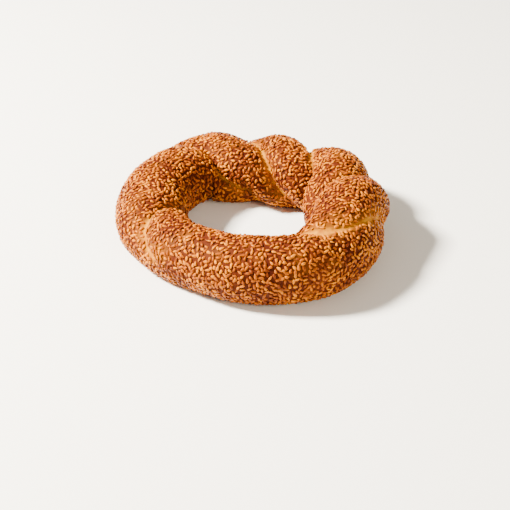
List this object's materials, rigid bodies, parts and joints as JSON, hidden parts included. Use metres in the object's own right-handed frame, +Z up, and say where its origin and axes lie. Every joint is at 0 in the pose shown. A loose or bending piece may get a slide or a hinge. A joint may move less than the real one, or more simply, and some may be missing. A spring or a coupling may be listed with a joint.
{
  "type": "simit",
  "caption": "Twisted sesame bread ring, baked golden brown, with deep clefts along its back and a flat base.",
  "frame": {"origin": "centre of the base, on the surface the ring rests on", "axes": "+Z up, out of the flat base; +X to the viewer's right; +Y away from the viewer, towards the deeply twisted back"},
  "size_m": [0.1562, 0.1582, 0.0398],
  "materials": {
    "crust": "baked bread crust, satin to glossy, covered with toasted sesame"
  },
  "bodies": {
    "root": {"dough_ring": "crust"}
  },
  "joints": []
}
